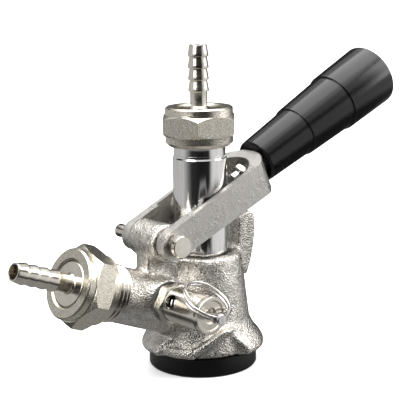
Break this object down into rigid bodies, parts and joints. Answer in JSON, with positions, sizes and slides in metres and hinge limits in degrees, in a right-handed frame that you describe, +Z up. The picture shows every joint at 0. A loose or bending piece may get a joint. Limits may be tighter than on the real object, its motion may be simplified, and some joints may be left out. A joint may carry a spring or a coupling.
{
  "type": "keg coupler",
  "caption": "Keg tap head with a lever that drives a sliding probe, a tilted gas arm, a relief valve with pull ring and barbed hose tails.",
  "frame": {"origin": "centre of the base's lower face, on the probe's axis", "axes": "+Z up along the probe, +X toward the lever's grip, -X toward the gas arm, -Y toward the relief valve"},
  "size_m": [0.1889, 0.0662, 0.1258],
  "materials": {
    "cast_plated": "nickel-plated brass casting, pebbled satin",
    "plated": "bright nickel plate on turned brass",
    "stainless": "polished stainless steel",
    "fork_steel": "satin cast stainless steel",
    "spring_steel": "stainless spring wire",
    "rubber": "black nitrile rubber, satin",
    "nylon": "white acetal, satin",
    "nylon_dark": "grey fibre gasket, matt",
    "grip_plastic": "black moulded plastic, glossy",
    "brass": "turned brass, machined"
  },
  "bodies": {
    "coupler_body": {"body": "cast_plated", "base_seal": "rubber", "hinge_pin": "plated", "pin_clip": "spring_steel", "gas_check_valve": "rubber", "relief_gasket": "nylon_dark", "relief_body": "plated", "relief_cap": "plated", "relief_spring": "spring_steel"},
    "probe": {"probe": "stainless", "probe_tip": "stainless", "probe_seal": "rubber", "upper_oring": "rubber", "lower_oring": "rubber", "ball_cage": "stainless"},
    "check_ball": {"check_ball": "nylon"},
    "beer_tail": {"beer_washer": "rubber", "beer_tailpiece": "plated"},
    "beer_nut": {"beer_nut": "plated"},
    "gas_tail": {"gas_washer": "rubber", "gas_tailpiece": "plated"},
    "gas_nut": {"gas_nut": "plated"},
    "lever": {"lever_fork": "fork_steel", "handle_stem": "fork_steel", "stem_plug": "fork_steel", "lock_spring": "spring_steel"},
    "pull_grip": {"lock_rod": "stainless", "lock_nut": "plated", "grip": "grip_plastic", "grip_insert": "brass", "grip_cap": "grip_plastic"},
    "relief_stem": {"relief_stem": "stainless", "relief_seal": "rubber"},
    "pull_ring": {"pull_ring": "spring_steel"}
  },
  "joints": [
    {"name": "lever_pivot", "type": "hinge", "parent": "coupler_body", "child": "lever", "pos_m": [-0.023, 0, 0.0535], "axis": [0, 1, 0], "range_deg": [0, 24]},
    {"name": "probe_slide", "type": "slide", "parent": "coupler_body", "child": "probe", "axis": [0, 0, -1], "range_m": [0, 0.00995]},
    {"name": "grip_pull", "type": "slide", "parent": "lever", "child": "pull_grip", "axis": [0.9135, 0, 0.4067], "range_m": [0, 0.0018], "stiffness_N_per_m": 600, "springref_m": -0.005, "deforming": ["lock_spring"]},
    {"name": "check_ball_lift", "type": "slide", "parent": "probe", "child": "check_ball", "axis": [0, 0, 1], "range_m": [0, 0.0024]},
    {"name": "beer_union_slide", "type": "slide", "parent": "probe", "child": "beer_tail", "axis": [0, 0, 1], "range_m": [0, 0.00635]},
    {"name": "beer_nut_turn", "type": "hinge", "parent": "beer_tail", "child": "beer_nut", "pos_m": [0, 0, 0.0948], "axis": [0, 0, 1], "range_deg": [0, 1261]},
    {"name": "gas_union_slide", "type": "slide", "parent": "coupler_body", "child": "gas_tail", "axis": [-0.9323, 0, 0.3616], "range_m": [0, 0.00635]},
    {"name": "gas_nut_turn", "type": "hinge", "parent": "gas_tail", "child": "gas_nut", "pos_m": [-0.05594, 0, 0.0414], "axis": [-0.9323, 0, 0.3616], "range_deg": [0, 1261]},
    {"name": "relief_pull", "type": "slide", "parent": "coupler_body", "child": "relief_stem", "axis": [0, -1, 0], "range_m": [0, 0.003], "stiffness_N_per_m": 800, "springref_m": -0.004, "deforming": ["relief_spring"]},
    {"name": "ring_swing", "type": "hinge", "parent": "relief_stem", "child": "pull_ring", "pos_m": [-0.026, -0.04005, 0.0322], "axis": [0.9781, 0, -0.2079], "range_deg": [0, 150]}
  ],
  "couplings": [
    {"joint": "probe_slide", "follows": "lever_pivot", "m_per_rad": 0.02368},
    {"joint": "beer_nut_turn", "follows": "beer_union_slide", "rad_per_m": 3463.7},
    {"joint": "gas_nut_turn", "follows": "gas_union_slide", "rad_per_m": 3463.7}
  ]
}
